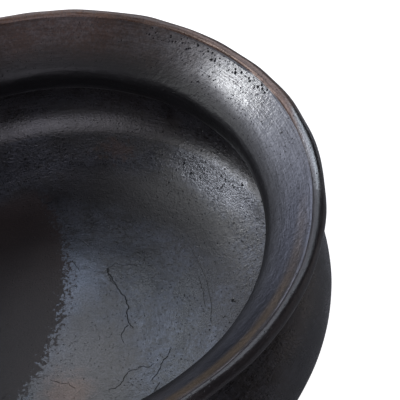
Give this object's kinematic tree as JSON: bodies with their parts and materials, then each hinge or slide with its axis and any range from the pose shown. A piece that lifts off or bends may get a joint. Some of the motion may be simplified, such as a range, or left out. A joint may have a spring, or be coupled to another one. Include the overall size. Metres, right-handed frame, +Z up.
{
  "type": "black clay pot",
  "caption": "Squat round black clay cooking pot with a wide flared rim, a narrower neck and a bulging belly, built up from a pressed dish and rolls of clay.",
  "frame": {"origin": "on the ground at the pot's axis, in the middle of the foot", "axes": "+Z up along the pot's axis; the pot is round, so X and Y are free, and a viewer in front looks along +Y"},
  "size_m": [0.302, 0.302, 0.116],
  "materials": {
    "black_clay": "burnished, smoke-fired black, satin sheen",
    "brown_black_clay": "burnished, smoke-fired black with a brown tinge, satin sheen"
  },
  "bodies": {
    "root": {"base_dish": "black_clay", "lower_wall_coil": "black_clay", "belly_coil": "black_clay", "shoulder_coil": "black_clay", "neck_coil": "black_clay", "rim_coil": "brown_black_clay", "lip_coil": "brown_black_clay"}
  },
  "joints": []
}
